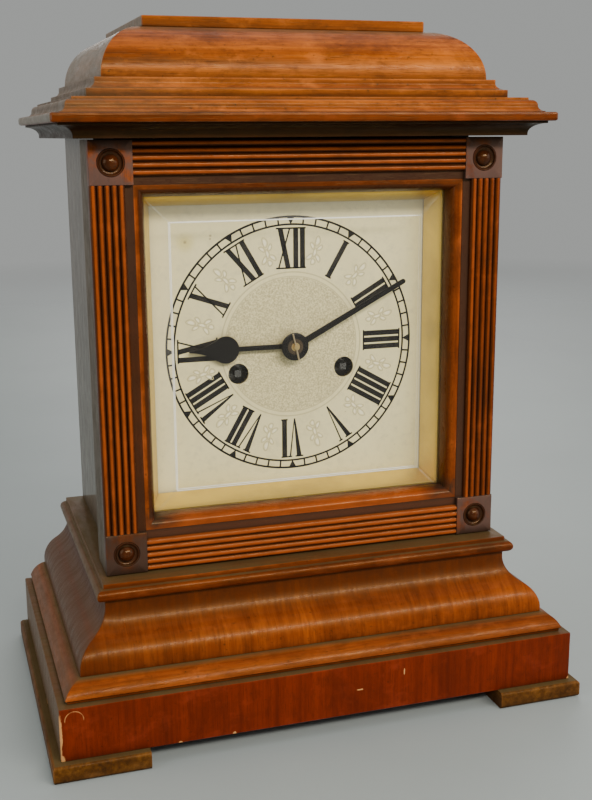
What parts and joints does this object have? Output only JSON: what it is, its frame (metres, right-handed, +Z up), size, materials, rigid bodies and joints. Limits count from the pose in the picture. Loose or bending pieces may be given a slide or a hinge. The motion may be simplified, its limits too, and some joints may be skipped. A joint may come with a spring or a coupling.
{
  "type": "mantel clock",
  "caption": "Upright wooden mantel clock with a stepped base, a reeded glazed door, a stepped cornice and a cushion dome, and a spring movement that drives the hands and strikes on a coil gong.",
  "frame": {"origin": "centre of the footprint, on the plane the feet rest on", "axes": "+Z up, +Y from the dial to the back, +X to the right seen from the front"},
  "size_m": [0.2784, 0.178, 0.3508],
  "materials": {
    "case_wood": "french polished mahogany",
    "dark_wood": "dark stained, satin",
    "plain_wood": "plain oiled",
    "brass": "polished",
    "steel": "polished",
    "hand_black": "black oxide, semi-gloss",
    "iron": "black japanned",
    "glass": "polished, bevelled",
    "dial_silver": "silvered, lacquered",
    "gilt": "gilded"
  },
  "bodies": {
    "case": {"foot_runners": "dark_wood", "plinth_boards": "case_wood", "plinth_ovolo": "case_wood", "base_ogee": "case_wood", "base_cap": "case_wood", "case_side_left": "case_wood", "case_side_right": "case_wood", "back_frame": "plain_wood", "back_pivot_pins": "steel", "dial_board": "plain_wood", "seat_board": "plain_wood", "bed_moulding": "dark_wood", "cornice_board": "case_wood", "cornice_cymatium": "case_wood", "upper_moulding": "case_wood", "dome": "case_wood", "top_slab": "case_wood", "hinge_case_leaves": "brass", "dial_plate": "dial_silver", "front_plate": "brass", "back_plate": "brass", "plate_pillars": "brass", "back_cock": "brass", "gong_stand": "iron", "gong_coil": "steel"},
    "front_door": {"door_frame": "case_wood", "reeded_strips": "case_wood", "corner_blocks": "case_wood", "corner_bosses": "case_wood", "sight_moulding": "case_wood", "door_glass": "glass", "gilt_slip": "gilt", "hinge_door_leaves": "brass"},
    "back_door": {"back_door": "plain_wood", "back_door_knob": "brass"},
    "centre_arbor": {"centre_wheel": "brass", "cannon_pinion": "brass", "minute_hand": "hand_black", "hand_pin": "steel"},
    "hour_pipe": {"hour_wheel": "brass", "hour_hand": "hand_black"},
    "minute_stud": {"minute_wheel": "brass"},
    "second_arbor": {"second_wheel": "brass"},
    "third_arbor": {"third_wheel": "brass"},
    "escape_arbor": {"escape_wheel": "brass"},
    "anchor_arbor": {"anchor": "steel"},
    "pendulum": {"suspension_spring": "steel", "pendulum_rod": "steel", "pendulum_bob": "brass"},
    "rating_nut": {"rating_nut": "brass"},
    "going_barrel": {"going_barrel": "brass", "going_mainspring": "steel"},
    "going_winding": {"going_winding_arbor": "steel"},
    "going_click": {"going_click": "steel"},
    "strike_barrel": {"strike_barrel": "brass", "strike_mainspring": "steel"},
    "strike_winding": {"strike_winding_arbor": "steel"},
    "strike_click": {"strike_click": "steel"},
    "pin_wheel": {"strike_pin_wheel": "brass"},
    "hammer": {"hammer": "steel"}
  },
  "joints": [
    {"name": "front_door_hinge", "type": "hinge", "parent": "case", "child": "front_door", "pos_m": [0.1002, -0.0222, 0.1889], "axis": [0, 0, 1], "range_deg": [0, 105]},
    {"name": "back_door_pivot", "type": "hinge", "parent": "case", "child": "back_door", "pos_m": [0.0632, 0.08, 0.19245], "axis": [0, 0, -1], "range_deg": [0, 90]},
    {"name": "minute_spin", "type": "hinge", "parent": "case", "child": "centre_arbor", "pos_m": [0, 0.0096, 0.1889], "axis": [0, 1, 0], "continuous": true},
    {"name": "hour_spin", "type": "hinge", "parent": "case", "child": "hour_pipe", "pos_m": [0, -0.0154, 0.1889], "axis": [0, 1, 0], "continuous": true},
    {"name": "motion_spin", "type": "hinge", "parent": "case", "child": "minute_stud", "pos_m": [0, -0.0154, 0.1721], "axis": [0, 1, 0], "continuous": true},
    {"name": "second_spin", "type": "hinge", "parent": "case", "child": "second_arbor", "pos_m": [0.01527, 0.0096, 0.2015], "axis": [0, 1, 0], "continuous": true},
    {"name": "third_spin", "type": "hinge", "parent": "case", "child": "third_arbor", "pos_m": [-0.00769, 0.0096, 0.20539], "axis": [0, 1, 0], "continuous": true},
    {"name": "escape_spin", "type": "hinge", "parent": "case", "child": "escape_arbor", "pos_m": [0, 0.0096, 0.21693], "axis": [0, 1, 0], "continuous": true},
    {"name": "going_barrel_spin", "type": "hinge", "parent": "case", "child": "going_barrel", "pos_m": [0.0288, 0.0096, 0.1754], "axis": [0, 1, 0], "continuous": true},
    {"name": "pendulum_swing", "type": "hinge", "parent": "case", "child": "pendulum", "pos_m": [0, 0.0371, 0.23192], "axis": [0, 1, 0], "range_deg": [-4, 4]},
    {"name": "anchor_rock", "type": "hinge", "parent": "case", "child": "anchor_arbor", "pos_m": [0, 0.0096, 0.23192], "axis": [0, 1, 0], "range_deg": [-4, 4]},
    {"name": "rating_turn", "type": "hinge", "parent": "pendulum", "child": "rating_nut", "pos_m": [0, 0.0371, 0.09043], "axis": [0, 0, 1], "range_deg": [-1080, 1080]},
    {"name": "going_wind", "type": "hinge", "parent": "case", "child": "going_winding", "pos_m": [0.0288, 0.0096, 0.1754], "axis": [0, 1, 0], "range_deg": [0, 2340]},
    {"name": "going_click_lift", "type": "hinge", "parent": "case", "child": "going_click", "pos_m": [0.0378, -0.0109, 0.16467], "axis": [0, 1, 0], "range_deg": [-15, 0], "stiffness_Nm_per_rad": 0.001, "springref_deg": 11.46},
    {"name": "strike_barrel_spin", "type": "hinge", "parent": "case", "child": "strike_barrel", "pos_m": [-0.0288, 0.0096, 0.1754], "axis": [0, 1, 0], "continuous": true},
    {"name": "pin_wheel_spin", "type": "hinge", "parent": "case", "child": "pin_wheel", "pos_m": [-0.0426, 0.0096, 0.20136], "axis": [0, 1, 0], "continuous": true},
    {"name": "strike_wind", "type": "hinge", "parent": "case", "child": "strike_winding", "pos_m": [-0.0288, 0.0096, 0.1754], "axis": [0, 1, 0], "range_deg": [0, 2340]},
    {"name": "strike_click_lift", "type": "hinge", "parent": "case", "child": "strike_click", "pos_m": [-0.0378, -0.0109, 0.16467], "axis": [0, 1, 0], "range_deg": [-15, 0], "stiffness_Nm_per_rad": 0.001, "springref_deg": 11.46},
    {"name": "hammer_lift", "type": "hinge", "parent": "case", "child": "hammer", "pos_m": [-0.052, 0.0096, 0.2229], "axis": [0, 1, 0], "range_deg": [0, 12], "stiffness_Nm_per_rad": 0.01, "springref_deg": -14.32}
  ],
  "couplings": [
    {"joint": "motion_spin", "follows": "minute_spin", "ratio": -0.33333},
    {"joint": "hour_spin", "follows": "minute_spin", "ratio": 0.083333},
    {"joint": "second_spin", "follows": "minute_spin", "ratio": -0.2},
    {"joint": "going_barrel_spin", "follows": "minute_spin", "ratio": 0.033333},
    {"joint": "third_spin", "follows": "minute_spin", "ratio": -12},
    {"joint": "escape_spin", "follows": "minute_spin", "ratio": 120},
    {"joint": "anchor_rock", "follows": "pendulum_swing", "ratio": 1},
    {"joint": "pin_wheel_spin", "follows": "strike_barrel_spin", "ratio": -6}
  ]
}
